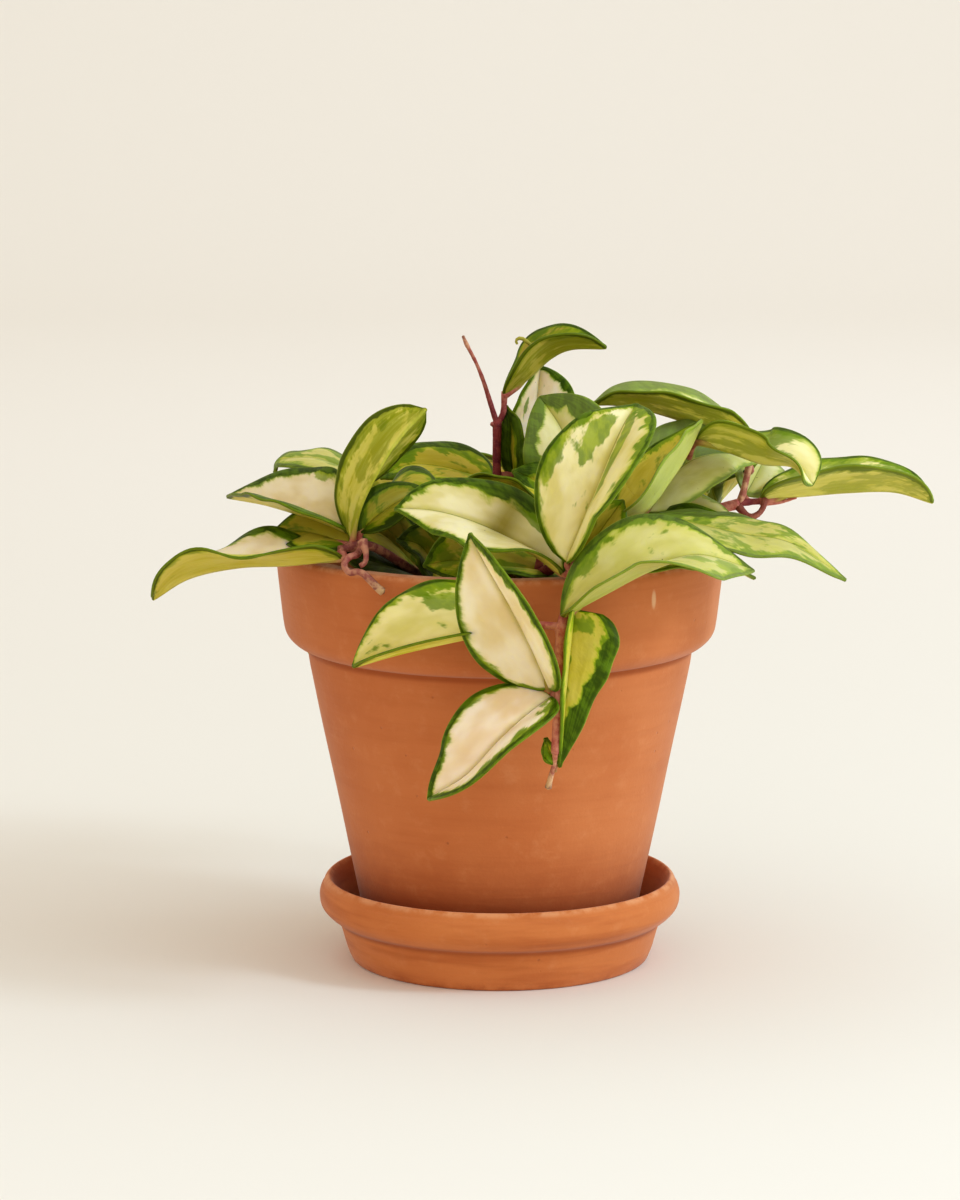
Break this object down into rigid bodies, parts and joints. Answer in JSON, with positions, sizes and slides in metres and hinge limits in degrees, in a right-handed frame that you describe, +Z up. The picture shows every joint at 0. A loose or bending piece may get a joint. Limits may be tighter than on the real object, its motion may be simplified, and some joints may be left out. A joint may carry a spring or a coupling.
{
  "type": "potted hoya plant",
  "caption": "Waxy-leaved trailing plant with folded, pointed leaves, growing in a round clay pot with a deep collar that stands in a rounded saucer.",
  "frame": {"origin": "centre of the saucer's underside, on the surface that the saucer stands on", "axes": "+Z up along the axis of the pot and saucer; -Y towards the side that the front stem trails over; +X to the right of someone who looks at that side"},
  "size_m": [0.259, 0.2387, 0.2155],
  "materials": {
    "terracotta": "matt unglazed fired clay with a fine grain and faint pale marks",
    "saucer_clay": "matt unglazed fired clay",
    "potting_mix": "dry, crumbly mix of bark and peat",
    "foliage": "waxy leaves, cream in the middle with a ragged green margin, on maroon stems"
  },
  "bodies": {
    "root": {"saucer": "saucer_clay", "pot": "terracotta", "soil": "potting_mix", "leafy_stem_front": "foliage", "leafy_stem_left": "foliage", "leafy_stem_inner_left": "foliage", "leafy_stem_upright": "foliage", "leafy_stem_near_right": "foliage", "leafy_stem_right": "foliage", "leafy_stem_far_right": "foliage", "leafy_stem_back_left": "foliage", "leafy_stem_back_right": "foliage"}
  },
  "joints": []
}
